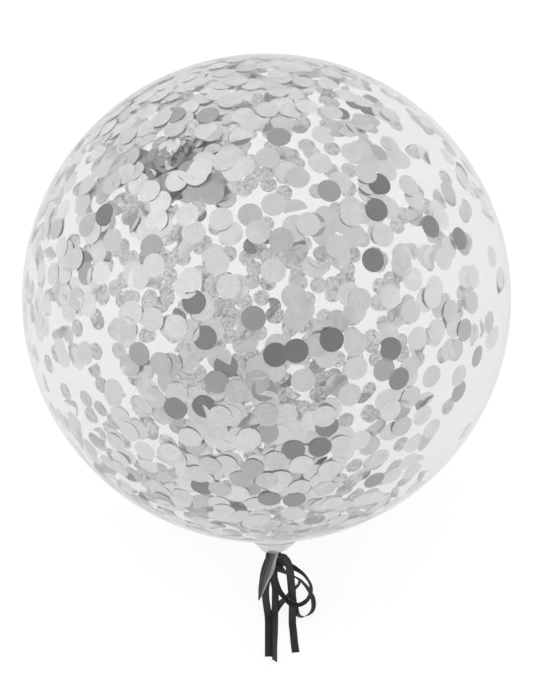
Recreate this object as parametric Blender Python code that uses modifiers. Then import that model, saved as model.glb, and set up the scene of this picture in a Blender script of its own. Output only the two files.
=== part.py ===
"""A clear ball balloon, air-filled, lying on the floor with its tied neck forward and down.

The film is one closed solid: the ball, the cup-shaped collar under it, the pinched
neck and the flat end of the neck below the tie. Two lengths of black ribbon are tied
round the neck. Their turns and knot are one solid, and each strand that leaves the
knot is a flat strip of its own. Metres, +Z up; the floor is z = 0 and the origin is
the middle of the flat spot that the ball rests on.
"""

import math

import bmesh
import bpy
from mathutils import Matrix, Quaternion, Vector

MM = 0.001

# The ball
BALL_RADIUS = 0.300
SPOT_RADIUS = 0.031
BALL_SIDES = 64
BALL_RINGS = 31

# The neck points forward and down, leaning a little to the right
NECK_SLOPE = math.radians(45)
NECK_LEAN = math.radians(2)
NECK_SIDES = 36
PLEATS = 9
PLEAT_DEPTH = 0.07
PLEATED = (0.309, 0.3195)

# Sections of the neck, in millimetres: distance from the ball's centre, middle to the
# right, half width, half depth, middle to the front
NECK_SECTIONS = (
    (290, 0, 33, 33, 0),
    (301, 0, 31.5, 31.5, 0),
    (304, 0, 28.5, 28.5, 0),
    (307, 0, 25, 25, 0),
    (310.7, 0, 21.3, 21.3, 0),
    (313.5, 0, 18, 18, 0),
    (315.9, -0.5, 14.5, 14.5, 0),
    (317.8, -1.3, 10.8, 10.8, 0),
    (319, -2.3, 7, 7, 0),
    (319.7, -3, 4.7, 4.6, 0),
    (322.8, -3.3, 4.6, 4.3, 0),
    (324.2, -4.8, 6, 2.5, 0.3),
    (328, -7, 7.8, 1.5, 0.8),
    (336, -9.3, 8.4, 1.2, 1.5),
    (346, -12.3, 7.8, 1.2, 1),
    (356, -15.7, 5.9, 1.1, -1.5),
    (366, -18.7, 4.2, 1, -5),
    (376, -21.2, 2.1, 0.8, -9.5),
    (382, -23.3, 0.7, 0.5, -13),
)

# The ribbon
RIBBON_WIDTH = 0.0095
RIBBON_THICKNESS = 0.0005
RUN_STEP = 0.004
FLOOR_REST = 0.0006
SECOND_LAYER = 0.0015

# The turns round the neck and the knot beside them, in millimetres from the tie
TIE_DISTANCE = 0.3212
TURNS_MIDDLE = -3
TURNS_INSIDE = 0.0049
TURNS_OUTSIDE = 0.0063
TURNS_HALF_HEIGHT = 0.0013
TURNS_SIDES = 32
KNOT_MIDDLE = (5, 0.4, 0)
KNOT_HALF_SIZES = (3.2, 2, 3.8)

# Routes of the strands, in millimetres from the tie: to the right, down along the
# neck's slope, to the front, and the turn of the ribbon's face in degrees. At 0 the
# full face shows to the front. LIES marks a point where the ribbon lies on the floor.
LIES = None
TAIL_RIGHT = (
    (9.5, 0.5, 7.5, 25),
    (11.5, 3, 8, 25),
    (14.5, 6.5, 8, 22),
    (17, 13, 8, 15),
    (18.5, 20.5, 7, 12),
    (19.5, 32.5, 4, 15),
    (21, 45.5, 0, 18),
    (21.5, 58.5, -4.5, 18),
    (21.5, 71, -9.5, 12),
    (21.5, 82, -12.5, 6),
    (21.5, 90.5, -10, LIES),
    (22.5, 98, -2, LIES),
    (23.5, 108.5, 8.5, LIES),
    (25, 118, 17.5, LIES),
)
TAIL_LEFT = (
    (-5.5, 3, -5.2, 0),
    (-6.5, 11, -7, 4),
    (-8.5, 21.5, -8.5, 8),
    (-10, 32, -9.5, 10),
    (-12, 42.5, -11, 12),
    (-12.5, 50.5, -13, 14),
    (-12, 61.5, -16.5, 12),
    (-10.5, 73, -19.5, 8),
    (-9, 82, -16.5, LIES),
    (-8.5, 90, -9, LIES),
    (-8.5, 100.5, 2, LIES),
    (-8.5, 111, 12.5, LIES),
    (-8.5, 121.5, 22.5, LIES),
)
TAIL_MIDDLE = (
    (-3, 3, -6.2, 0),
    (-2.5, 14.5, -10, 2),
    (-2, 26, -11, 0),
    (-1.5, 36, -11.5, -8),
    (0, 45.5, -12.5, -18),
    (0, 56, -14.5, -22),
    (0, 67, -17.5, -22),
    (-0.5, 77.5, -18.5, -22),
    (-0.5, 85.5, -11, -30),
    (-0.5, 97, 1.5, -38),
    (-1, 109.5, 14, -45),
    (-1, 124.5, 29.5, -50),
)
TAIL_SHORT = (
    (-1, 3.5, -7.4, 0),
    (2, 13, -13, 0),
    (8, 22.5, -16, 45),
    (16, 28.5, -16.5, 66),
    (23.5, 32.5, -16.5, 66),
    (29, 35.5, -16.5, 68),
    (30.5, 38.5, -16.5, 72),
    (29, 42.5, -16, 78),
    (25, 46.5, -15.5, 78),
    (20.5, 51.5, -15.5, 70),
    (16, 57, -16.5, 62),
    (10.5, 63, -18, 60),
    (5.5, 69, -21.5, 45),
    (1, 75.5, -24.5, LIES),
    (-2.5, 81.5, -18.5, LIES),
    (-4, 90.5, -10, LIES),
    (-4.5, 100, 0, LIES),
    (-4.5, 110.5, 10.5, LIES),
)
LOOP_LARGE = (
    (3, 5.5, -0.5, 30),
    (6.5, 9, -0.5, 36),
    (12, 12.5, 0, 41),
    (20, 15.5, 0, 35),
    (27.5, 19.5, 1.5, 45),
    (34, 24, 2.5, 55),
    (39, 29.5, 3, 62),
    (43, 36, 3.5, 65),
    (44.5, 42.5, 3.5, 66),
    (43, 50.5, 3, 68),
    (39, 57.5, 2.5, 71),
    (32.5, 62, 2, 72),
    (25.5, 63.5, 2, 72),
    (19.5, 62.5, 1.5, 70),
    (15, 59, 0, 66),
    (10.5, 53.5, -1.5, 60),
    (6, 48, -2, 52),
    (2, 41, -2.5, 36),
    (-1, 33, -3, 18),
    (-3.5, 24, -3, 8),
    (-4.5, 15.5, -3, 2),
    (-5, 8.5, -3, 0),
    (-5, 3.5, -3.4, 0),
)
LOOP_SMALL = (
    (-3, 3, -4.3, 0),
    (-3, 9.5, -4.6, 2),
    (-1.5, 15.5, -5, 8),
    (2, 19.5, -5, 30),
    (7.5, 23, -5, 55),
    (15, 26.5, -5, 66),
    (23, 29.5, -5, 65),
    (30.5, 33.5, -5.5, 63),
    (36, 39, -6, 60),
    (40.5, 44.5, -7, 55),
    (44, 50.5, -7.5, 54),
    (47, 57, -8, 52),
    (48, 65, -9, 54),
    (47, 72, -10, 66),
    (43.5, 77, -10.5, 84),
    (38, 80.5, -11, 104),
    (33, 81.5, -11, 122),
    (28, 78.5, -12.5, 138),
    (25.5, 73, -13, 152),
    (23.5, 66.5, -11, 162),
    (22, 58, -7.5, 162),
    (20.5, 48, -3.5, 162),
    (19.5, 37.5, 0, 165),
    (18.5, 26.5, 3.5, 167),
    (17.5, 16.5, 5, 165),
    (15, 9, 5, 158),
    (11, 3.5, 5, 155),
    (7, 1.5, 4.5, 160),
)

# Colours
FILM_COLOUR = (0.86, 0.86, 0.87, 1)
FILM_ROUGHNESS = 0.15
RIBBON_COLOUR = (0.035, 0.034, 0.036, 1)
RIBBON_ROUGHNESS = 0.6

# The frame that the sizes above are read in
BALL_CENTRE = Vector((0, 0, math.sqrt(BALL_RADIUS**2 - SPOT_RADIUS**2)))
UP = Vector((0, 0, 1))
RIGHT = Vector((1, 0, 0))
DOWN = Vector((0, -math.cos(NECK_SLOPE), -math.sin(NECK_SLOPE)))
FRONT = DOWN.cross(RIGHT)
NECK_AXIS = DOWN * math.cos(NECK_LEAN) + RIGHT * math.sin(NECK_LEAN)
NECK_SIDE = RIGHT * math.cos(NECK_LEAN) - DOWN * math.sin(NECK_LEAN)
TIE = BALL_CENTRE + NECK_AXIS * TIE_DISTANCE


def clear_scene():
    """Remove every object, so that the script can run again."""
    for found in list(bpy.data.objects):
        bpy.data.objects.remove(found, do_unlink=True)
    for found in list(bpy.data.collections):
        bpy.data.collections.remove(found)


def collection(name, hidden=False):
    """A new collection, left out of renders if hidden."""
    made = bpy.data.collections.new(name)
    made.hide_render = hidden
    bpy.context.scene.collection.children.link(made)
    return made


def material(name, colour, roughness):
    """A plain Principled material."""
    made = bpy.data.materials.new(name)
    made.use_nodes = True
    shader = made.node_tree.nodes["Principled BSDF"]
    shader.inputs["Base Color"].default_value = colour
    shader.inputs["Roughness"].default_value = roughness
    made.diffuse_color = colour
    return made


def add_object(name, mesh, group, finish=None):
    """A new object in its collection, shaded smooth."""
    made = bpy.data.objects.new(name, mesh)
    group.objects.link(made)
    mesh.shade_smooth()
    if finish:
        mesh.materials.append(finish)
    return made


def mesh_from(name, shape):
    """The mesh of a finished bmesh, with its faces turned outwards."""
    bmesh.ops.recalc_face_normals(shape, faces=shape.faces)
    mesh = bpy.data.meshes.new(name)
    shape.to_mesh(mesh)
    shape.free()
    return mesh


def profile_mesh(name, points):
    """An open outline at +X, from its top to its bottom."""
    shape = bmesh.new()
    corners = [shape.verts.new((radius, 0, height)) for radius, height in points]
    for upper, lower in zip(corners, corners[1:]):
        shape.edges.new((upper, lower))
    mesh = bpy.data.meshes.new(name)
    shape.to_mesh(mesh)
    shape.free()
    return mesh


def turn(body, sides):
    """Turn an object's outline about its own Z axis."""
    screw = body.modifiers.new("turned", "SCREW")
    screw.steps = sides
    screw.render_steps = sides
    screw.use_merge_vertices = True
    screw.merge_threshold = 0.0001


def join(body, other):
    """Join another closed mesh to an object."""
    union = body.modifiers.new(f"with_{other.name}", "BOOLEAN")
    union.operation = "UNION"
    union.solver = "EXACT"
    union.object = other


def helper(name, mesh, group):
    """An object that is only joined to others."""
    made = add_object(name, mesh, group)
    made.hide_render = True
    made.display_type = "WIRE"
    return made


def ball_outline():
    """The ball's outline, from its top down to the middle of its flat spot."""
    lowest = math.pi - math.asin(SPOT_RADIUS / BALL_RADIUS)
    points = [(0, BALL_CENTRE.z + BALL_RADIUS)]
    for ring in range(1, BALL_RINGS):
        angle = lowest * ring / BALL_RINGS
        points.append((BALL_RADIUS * math.sin(angle), BALL_CENTRE.z + BALL_RADIUS * math.cos(angle)))
    points.append((SPOT_RADIUS, 0))
    points.append((0, 0))
    return points


def pleat(distance, angle):
    """How much a pleat draws the film in or out at one place round the neck."""
    start, end = PLEATED
    share = min(max((distance - start) / (end - start), 0), 1)
    if distance > end:
        share = 0
    return 1 + PLEAT_DEPTH * share * math.cos(PLEATS * angle)


def neck_mesh():
    """The collar, the pinched neck and its flat end, as one loft from round to flat."""
    shape = bmesh.new()
    rings = []
    for distance, middle, half_width, half_depth, forward in NECK_SECTIONS:
        ring = []
        for step in range(NECK_SIDES):
            angle = math.tau * step / NECK_SIDES
            drawn = pleat(distance * MM, angle)
            side = (middle + half_width * drawn * math.cos(angle)) * MM
            front = (forward + half_depth * drawn * math.sin(angle)) * MM
            place = BALL_CENTRE + NECK_AXIS * distance * MM + NECK_SIDE * side + FRONT * front
            ring.append(shape.verts.new(place))
        rings.append(ring)
    for upper, lower in zip(rings, rings[1:]):
        for step in range(NECK_SIDES):
            after = (step + 1) % NECK_SIDES
            shape.faces.new((upper[step], upper[after], lower[after], lower[step]))
    shape.faces.new(rings[0])
    shape.faces.new(rings[-1])
    return mesh_from("neck", shape)


def make_balloon(group, cutters, film):
    """The film: ball, collar, neck and its flat end, in one solid."""
    ball = add_object("balloon", profile_mesh("ball", ball_outline()), group, film)
    turn(ball, BALL_SIDES)
    join(ball, helper("neck", neck_mesh(), cutters))


def make_knot(group, cutters, ribbon):
    """The ribbons' turns round the neck, and the knot beside them."""
    outline = (
        (TURNS_INSIDE, TURNS_HALF_HEIGHT),
        (TURNS_OUTSIDE - TURNS_HALF_HEIGHT / 2, TURNS_HALF_HEIGHT),
        (TURNS_OUTSIDE, TURNS_HALF_HEIGHT / 2),
        (TURNS_OUTSIDE, -TURNS_HALF_HEIGHT / 2),
        (TURNS_OUTSIDE - TURNS_HALF_HEIGHT / 2, -TURNS_HALF_HEIGHT),
        (TURNS_INSIDE, -TURNS_HALF_HEIGHT),
        (TURNS_INSIDE, TURNS_HALF_HEIGHT),
    )
    turns = add_object("ribbon_knot", profile_mesh("turns", outline), group, ribbon)
    across = NECK_SIDE.normalized()
    upright = Matrix((across, -FRONT, -NECK_AXIS)).transposed().to_4x4()
    turns.matrix_world = Matrix.Translation(TIE + NECK_SIDE * TURNS_MIDDLE * MM) @ upright
    turn(turns, TURNS_SIDES)
    shape = bmesh.new()
    bmesh.ops.create_uvsphere(shape, u_segments=12, v_segments=8, radius=1)
    right, down, front = KNOT_HALF_SIZES
    bmesh.ops.scale(shape, vec=(right * MM, front * MM, down * MM), verts=shape.verts)
    knot = helper("knot", mesh_from("knot", shape), cutters)
    knot.matrix_world = Matrix.Translation(from_tie(*KNOT_MIDDLE)) @ upright
    join(turns, knot)


def from_tie(right, down, front):
    """The place of a point given in millimetres from the tie."""
    return TIE + (RIGHT * right + DOWN * down + FRONT * front) * MM


def on_curve(before, start, end, after, share):
    """A point of the smooth curve through four values, between the middle two."""
    slope_in = (end - before) / 2
    slope_out = (after - start) / 2
    square = share * share
    cube = square * share
    return (
        start * (2 * cube - 3 * square + 1)
        + slope_in * (cube - 2 * square + share)
        + end * (3 * square - 2 * cube)
        + slope_out * (cube - square)
    )


def across_ribbon(run, turned):
    """The direction across the ribbon, where it runs this way."""
    if turned is LIES:
        return run.cross(UP).normalized()
    level = run.cross(FRONT).normalized()
    level.rotate(Quaternion(run, math.radians(turned)))
    return level


def follow(route, lies_at):
    """Points along the strand, each with the direction across the ribbon there."""
    places = [from_tie(*point[:3]) for point in route]
    for place, point in zip(places, route):
        if point[3] is LIES:
            place.z = lies_at
    ends = [places[0]] + places + [places[-1]]
    across = []
    for index, point in enumerate(route):
        run = (ends[index + 2] - ends[index]).normalized()
        across.append(across_ribbon(run, point[3]))
    across = [across[0]] + across + [across[-1]]
    run = []
    for index in range(len(route) - 1):
        steps = max(1, round((places[index + 1] - places[index]).length / RUN_STEP))
        for step in range(steps):
            share = step / steps
            place = on_curve(*ends[index:index + 4], share)
            run.append((place, on_curve(*across[index:index + 4], share)))
    run.append((places[-1], across[-1]))
    for place, _ in run:
        place.z = max(place.z, FLOOR_REST)
    return run


def make_strand(name, route, group, ribbon, lies_at=FLOOR_REST):
    """One strand of flat ribbon: a narrow grid laid along its route, then given its thickness."""
    run = follow(route, lies_at)
    last = len(run) - 1
    shape = bmesh.new()
    bmesh.ops.create_grid(shape, x_segments=last, y_segments=1, size=1)
    for corner in shape.verts:
        index = round((corner.co.x + 1) / 2 * last)
        place, across = run[index]
        way = (run[min(index + 1, last)][0] - run[max(index - 1, 0)][0]).normalized()
        across = (across - way * across.dot(way)).normalized()
        corner.co = place + across * math.copysign(RIBBON_WIDTH / 2, corner.co.y)
        corner.co.z = max(corner.co.z, FLOOR_REST)
    strand = add_object(name, mesh_from(name, shape), group, ribbon)
    thicken = strand.modifiers.new("thickness", "SOLIDIFY")
    thicken.thickness = RIBBON_THICKNESS
    thicken.offset = 0


def main():
    clear_scene()
    group = collection("confetti_balloon")
    cutters = collection("cutters", hidden=True)
    film = material("film", FILM_COLOUR, FILM_ROUGHNESS)
    ribbon = material("ribbon", RIBBON_COLOUR, RIBBON_ROUGHNESS)
    make_balloon(group, cutters, film)
    make_knot(group, cutters, ribbon)
    make_strand("ribbon_tail_right", TAIL_RIGHT, group, ribbon)
    make_strand("ribbon_tail_left", TAIL_LEFT, group, ribbon, SECOND_LAYER)
    make_strand("ribbon_tail_middle", TAIL_MIDDLE, group, ribbon)
    make_strand("ribbon_tail_short", TAIL_SHORT, group, ribbon)
    make_strand("ribbon_loop_large", LOOP_LARGE, group, ribbon)
    make_strand("ribbon_loop_small", LOOP_SMALL, group, ribbon)


main()
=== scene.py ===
# %% [markdown]
# A clear balloon full of silver confetti
#
# The real thing is a ball of thin clear film, 60 cm across and filled with air. Some two
# thousand round pieces of silver foil cling to the inside of the film. Its neck is gathered
# up and tied with two lengths of black ribbon that fall in loops and tails. It lies on its
# small flat spot, with the neck forward and down.
#
# The solids that carry the sizes are loaded first. Every finished piece stands where one of
# those solids is, so all the places below are worked out from them.

# %% Load the solids
import math
import random

import bmesh
import bpy
from mathutils import Matrix, Quaternion, Vector


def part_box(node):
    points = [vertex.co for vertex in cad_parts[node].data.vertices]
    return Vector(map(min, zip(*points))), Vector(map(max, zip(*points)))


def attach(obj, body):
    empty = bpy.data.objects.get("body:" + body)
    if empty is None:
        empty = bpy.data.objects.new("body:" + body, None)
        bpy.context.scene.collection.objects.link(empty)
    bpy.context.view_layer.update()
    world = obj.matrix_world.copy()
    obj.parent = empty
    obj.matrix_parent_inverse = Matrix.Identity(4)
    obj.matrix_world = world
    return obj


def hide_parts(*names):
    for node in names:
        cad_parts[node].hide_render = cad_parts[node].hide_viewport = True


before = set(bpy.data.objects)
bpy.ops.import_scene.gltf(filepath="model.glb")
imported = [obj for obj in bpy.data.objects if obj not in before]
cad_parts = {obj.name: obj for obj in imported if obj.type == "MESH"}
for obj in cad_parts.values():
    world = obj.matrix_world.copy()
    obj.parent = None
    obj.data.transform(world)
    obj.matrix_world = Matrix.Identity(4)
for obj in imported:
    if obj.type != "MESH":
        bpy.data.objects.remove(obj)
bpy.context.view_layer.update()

film_low, film_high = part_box("balloon")
BALL_RADIUS = (film_high.x - film_low.x) / 2
BALL_CENTRE = Vector((0, 0, film_high.z - BALL_RADIUS))
print(f"ball {BALL_RADIUS * 2:.3f} m across, its centre {BALL_CENTRE.z:.4f} m up")

# %% [markdown]
# Directions
#
# The photograph looks at the balloon square to its neck, so three directions serve for
# everything: to the right, down along the neck, and to the front. The balloon lies with its
# neck 45 degrees below the level, so the photograph's view is from 45 degrees above it. The
# neck itself leans a little to the right, and the tie is where the ribbon goes round it.

# %% Directions and the tie
NECK_SLOPE = math.radians(45)
NECK_LEAN = math.radians(2)
TIE_DISTANCE = 0.3212
UP = Vector((0, 0, 1))
RIGHT = Vector((1, 0, 0))
DOWN = Vector((0, -math.cos(NECK_SLOPE), -math.sin(NECK_SLOPE)))
FRONT = DOWN.cross(RIGHT)
NECK_AXIS = DOWN * math.cos(NECK_LEAN) + RIGHT * math.sin(NECK_LEAN)
NECK_SIDE = RIGHT * math.cos(NECK_LEAN) - DOWN * math.sin(NECK_LEAN)
TIE = BALL_CENTRE + NECK_AXIS * TIE_DISTANCE
print(f"the tie is {TIE.z:.4f} m up")

# %% [markdown]
# Camera
#
# The confetti on the near side measures half as large again as that on the far side. That
# puts the camera 4.7 ball radii away. The lens then fits the ball's outline, and a small
# downward shift of the picture leaves the room below it where the ribbons hang.

# %% Camera
CAMERA_DISTANCE = BALL_RADIUS * 4.7
LENS_MM = 57.9
SHIFT = -0.0735

lens = bpy.data.cameras.new("camera")
lens.lens = LENS_MM
lens.shift_y = SHIFT
camera = bpy.data.objects.new("camera", lens)
bpy.context.collection.objects.link(camera)
turned = Matrix((RIGHT, -DOWN, FRONT)).transposed().to_4x4()
camera.matrix_world = Matrix.Translation(BALL_CENTRE + FRONT * CAMERA_DISTANCE) @ turned
bpy.context.scene.camera = camera
print(f"camera {CAMERA_DISTANCE:.2f} m from the ball's centre")

# %% [markdown]
# Nodes and pieces
#
# Each material is a Principled shader with a few nodes in front of it, so two small helpers
# are worth having: one makes a material with its plain values, and one adds a node. A third
# turns a finished bmesh into an object. The object stays at the origin with its place in its
# mesh, as the solids have it, and it rides on the balloon's one body.

# %% Helpers for materials and pieces
def new_finish(name, **values):
    """A material whose Principled shader has these plain values."""
    finish = bpy.data.materials.new(name)
    finish.use_nodes = True
    shader = finish.node_tree.nodes["Principled BSDF"]
    for socket, value in values.items():
        shader.inputs[socket.replace("_", " ")].default_value = value
    return finish, finish.node_tree, shader


def add_node(tree, kind, inputs=None, **settings):
    """A new node with its settings and the plain values of its inputs."""
    node = tree.nodes.new(f"ShaderNode{kind}")
    for setting, value in settings.items():
        setattr(node, setting, value)
    for socket, value in (inputs or {}).items():
        node.inputs[socket].default_value = value
    return node


def new_piece(name, shape, finish):
    """The object of a finished bmesh, riding on the balloon."""
    mesh = bpy.data.meshes.new(name)
    shape.to_mesh(mesh)
    shape.free()
    mesh.materials.append(finish)
    made = bpy.data.objects.new(name, mesh)
    bpy.context.collection.objects.link(made)
    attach(made, "root")
    return made

# %% [markdown]
# Crinkles
#
# Foil, stretched film and ribbon are never quite flat. One node group makes their fine
# crinkles: a noise drives a bump, and the group puts out the normal. Each material places
# the group with its own scale and strength.

# %% Crinkle group
crinkle = bpy.data.node_groups.new("crinkle", "ShaderNodeTree")
crinkle.interface.new_socket("Scale", in_out="INPUT", socket_type="NodeSocketFloat")
crinkle.interface.new_socket("Strength", in_out="INPUT", socket_type="NodeSocketFloat")
crinkle.interface.new_socket("Normal", in_out="OUTPUT", socket_type="NodeSocketVector")
given = crinkle.nodes.new("NodeGroupInput")
put_out = crinkle.nodes.new("NodeGroupOutput")
spot = add_node(crinkle, "TexCoord")
grain = add_node(crinkle, "TexNoise", {"Detail": 3.0, "Roughness": 0.55, "Distortion": 0.4})
press = add_node(crinkle, "Bump", {"Distance": 0.002})
crinkle.links.new(spot.outputs["Object"], grain.inputs["Vector"])
crinkle.links.new(given.outputs["Scale"], grain.inputs["Scale"])
crinkle.links.new(grain.outputs["Fac"], press.inputs["Height"])
crinkle.links.new(given.outputs["Strength"], press.inputs["Strength"])
crinkle.links.new(press.outputs["Normal"], put_out.inputs["Normal"])
print("crinkle group:", len(crinkle.nodes), "nodes")


def crinkled(tree, shader, scale, strength):
    """Give a shader the crinkles of this scale and strength, and return their node."""
    group = add_node(tree, "Group", node_tree=crinkle)
    group.inputs["Scale"].default_value = scale
    group.inputs["Strength"].default_value = strength
    tree.links.new(group.outputs["Normal"], shader.inputs["Normal"])
    return group

# %% [markdown]
# Ribbon finish
#
# The ribbon is woven polyester, black and matt. Fine ribs run across it, and a firm selvedge,
# a little darker, runs along each edge. The pattern has to follow the ribbon through its
# loops, so it reads a UV map that holds metres along the ribbon and metres across it.

# %% Ribbon finish
RIBBON_WIDTH = 0.0095
RIB_SPACING = 0.0005
SELVEDGE = 0.0008
SELVEDGE_BLUR = 1.4
BAND_PERIOD = math.tau / 20  # a Wave texture of scale 1 repeats after this length

black, tree, shader = new_finish("black_ribbon", Roughness=0.62)
woven = add_node(tree, "UVMap", uv_map="weave")
ribs = add_node(tree, "TexWave", {
    "Scale": BAND_PERIOD / RIB_SPACING, "Distortion": 0.6, "Detail": 1.0,
})
parted = add_node(tree, "SeparateXYZ")
from_middle = add_node(tree, "Math", operation="ABSOLUTE")
edge = add_node(tree, "MapRange", {
    "From Min": RIBBON_WIDTH / 2 - SELVEDGE * SELVEDGE_BLUR,
    "From Max": RIBBON_WIDTH / 2 - SELVEDGE,
})
tint = add_node(tree, "Mix", data_type="RGBA")
tint.inputs["A"].default_value = (0.027, 0.026, 0.028, 1)
tint.inputs["B"].default_value = (0.010, 0.010, 0.011, 1)
shade = add_node(tree, "Mix", data_type="RGBA", blend_type="MULTIPLY")
shade.inputs["Factor"].default_value = 0.35
raised = add_node(tree, "Bump", {"Strength": 0.5, "Distance": 0.0001})
tree.links.new(woven.outputs["UV"], ribs.inputs["Vector"])
tree.links.new(woven.outputs["UV"], parted.inputs["Vector"])
tree.links.new(parted.outputs["Y"], from_middle.inputs[0])
tree.links.new(from_middle.outputs["Value"], edge.inputs["Value"])
tree.links.new(edge.outputs["Result"], tint.inputs["Factor"])
tree.links.new(tint.outputs["Result"], shade.inputs["A"])
tree.links.new(ribs.outputs["Color"], shade.inputs["B"])
tree.links.new(shade.outputs["Result"], shader.inputs["Base Color"])
tree.links.new(ribs.outputs["Fac"], raised.inputs["Height"])
tree.links.new(raised.outputs["Normal"], shader.inputs["Normal"])
print("ribbon finish:", len(tree.nodes), "nodes")

# %% [markdown]
# Routes of the ribbon
#
# Two ribbons of 3/8 inch are tied round the neck, so four ends and two loops leave the knot.
# A ribbon is a limp cord, and its length is the first thing to settle. The photograph shows
# nearly all of it. Each strand follows one smooth curve through listed points, in metres
# from the tie: to the right, down along the neck and to the front. The fourth value turns
# the ribbon's face, in degrees, and LIES marks a point where it lies on the floor.

# %% Routes
LIES = None
TAIL_RIGHT = (
    (0.0095, 0.0005, 0.0075, 25), (0.0115, 0.003, 0.008, 25), (0.0145, 0.0065, 0.008, 22),
    (0.017, 0.013, 0.008, 15), (0.0185, 0.0205, 0.007, 12), (0.0195, 0.0325, 0.004, 15),
    (0.021, 0.0455, 0, 18), (0.0215, 0.0585, -0.0045, 18), (0.0215, 0.071, -0.0095, 12),
    (0.0215, 0.082, -0.0125, 6), (0.0215, 0.0905, -0.01, LIES), (0.0225, 0.098, -0.002, LIES),
    (0.0235, 0.1085, 0.0085, LIES), (0.025, 0.118, 0.0175, LIES),
)
TAIL_LEFT = (
    (-0.0055, 0.003, -0.0052, 0), (-0.0065, 0.011, -0.007, 4), (-0.0085, 0.0215, -0.0085, 8),
    (-0.01, 0.032, -0.0095, 10), (-0.012, 0.0425, -0.011, 12), (-0.0125, 0.0505, -0.013, 14),
    (-0.012, 0.0615, -0.0165, 12), (-0.0105, 0.073, -0.0195, 8), (-0.009, 0.082, -0.0165, LIES),
    (-0.0085, 0.09, -0.009, LIES), (-0.0085, 0.1005, 0.002, LIES), (-0.0085, 0.111, 0.0125, LIES),
    (-0.0085, 0.1215, 0.0225, LIES),
)
TAIL_MIDDLE = (
    (-0.003, 0.003, -0.0062, 0), (-0.0025, 0.0145, -0.01, 2), (-0.002, 0.026, -0.011, 0),
    (-0.0015, 0.036, -0.0115, -8), (0, 0.0455, -0.0125, -18), (0, 0.056, -0.0145, -22),
    (0, 0.067, -0.0175, -22), (-0.0005, 0.0775, -0.0185, -22), (-0.0005, 0.0855, -0.011, -30),
    (-0.0005, 0.097, 0.0015, -38), (-0.001, 0.1095, 0.014, -45), (-0.001, 0.1245, 0.0295, -50),
)
TAIL_SHORT = (
    (-0.001, 0.0035, -0.0074, 0), (0.002, 0.013, -0.013, 0), (0.008, 0.0225, -0.016, 45),
    (0.016, 0.0285, -0.0165, 66), (0.0235, 0.0325, -0.0165, 66), (0.029, 0.0355, -0.0165, 68),
    (0.0305, 0.0385, -0.0165, 72), (0.029, 0.0425, -0.016, 78), (0.025, 0.0465, -0.0155, 78),
    (0.0205, 0.0515, -0.0155, 70), (0.016, 0.057, -0.0165, 62), (0.0105, 0.063, -0.018, 60),
    (0.0055, 0.069, -0.0215, 45), (0.001, 0.0755, -0.0245, LIES), (-0.0025, 0.0815, -0.0185, LIES),
    (-0.004, 0.0905, -0.01, LIES), (-0.0045, 0.1, 0, LIES), (-0.0045, 0.1105, 0.0105, LIES),
)
LOOP_LARGE = (
    (0.003, 0.0055, -0.0005, 30), (0.0065, 0.009, -0.0005, 36), (0.012, 0.0125, 0, 41),
    (0.02, 0.0155, 0, 35), (0.0275, 0.0195, 0.0015, 45), (0.034, 0.024, 0.0025, 55),
    (0.039, 0.0295, 0.003, 62), (0.043, 0.036, 0.0035, 65), (0.0445, 0.0425, 0.0035, 66),
    (0.043, 0.0505, 0.003, 68), (0.039, 0.0575, 0.0025, 71), (0.0325, 0.062, 0.002, 72),
    (0.0255, 0.0635, 0.002, 72), (0.0195, 0.0625, 0.0015, 70), (0.015, 0.059, 0, 66),
    (0.0105, 0.0535, -0.0015, 60), (0.006, 0.048, -0.002, 52), (0.002, 0.041, -0.0025, 36),
    (-0.001, 0.033, -0.003, 18), (-0.0035, 0.024, -0.003, 8), (-0.0045, 0.0155, -0.003, 2),
    (-0.005, 0.0085, -0.003, 0), (-0.005, 0.0035, -0.0034, 0),
)
LOOP_SMALL = (
    (-0.003, 0.003, -0.0043, 0), (-0.003, 0.0095, -0.0046, 2), (-0.0015, 0.0155, -0.005, 8),
    (0.002, 0.0195, -0.005, 30), (0.0075, 0.023, -0.005, 55), (0.015, 0.0265, -0.005, 66),
    (0.023, 0.0295, -0.005, 65), (0.0305, 0.0335, -0.0055, 63), (0.036, 0.039, -0.006, 60),
    (0.0405, 0.0445, -0.007, 55), (0.044, 0.0505, -0.0075, 54), (0.047, 0.057, -0.008, 52),
    (0.048, 0.065, -0.009, 54), (0.047, 0.072, -0.01, 66), (0.0435, 0.077, -0.0105, 84),
    (0.038, 0.0805, -0.011, 104), (0.033, 0.0815, -0.011, 122), (0.028, 0.0785, -0.0125, 138),
    (0.0255, 0.073, -0.013, 152), (0.0235, 0.0665, -0.011, 162), (0.022, 0.058, -0.0075, 162),
    (0.0205, 0.048, -0.0035, 162), (0.0195, 0.0375, 0, 165), (0.0185, 0.0265, 0.0035, 167),
    (0.0175, 0.0165, 0.005, 165), (0.015, 0.009, 0.005, 158), (0.011, 0.0035, 0.005, 155),
    (0.007, 0.0015, 0.0045, 160),
)
print("six strands leave the knot")

# %% [markdown]
# Following a route
#
# A smooth curve through all the points keeps the ribbon from looking like bent wire. At each
# step along it the ribbon also needs the direction across its width, which is turned about
# the way it runs. On the floor that direction is level, so the ribbon lies flat.

# %% Follow a route
RUN_STEP = 0.0016
FLOOR_REST = 0.0006
SECOND_LAYER = 0.0015


def on_curve(before, start, end, after, share):
    """A point of the smooth curve through four values, between the middle two."""
    slope_in = (end - before) / 2
    slope_out = (after - start) / 2
    square = share * share
    cube = square * share
    return (
        start * (2 * cube - 3 * square + 1)
        + slope_in * (cube - 2 * square + share)
        + end * (3 * square - 2 * cube)
        + slope_out * (cube - square)
    )


def across_ribbon(run, turned):
    """The direction across the ribbon, where it runs this way."""
    if turned is LIES:
        return run.cross(UP).normalized()
    level = run.cross(FRONT).normalized()
    level.rotate(Quaternion(run, math.radians(turned)))
    return level


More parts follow.
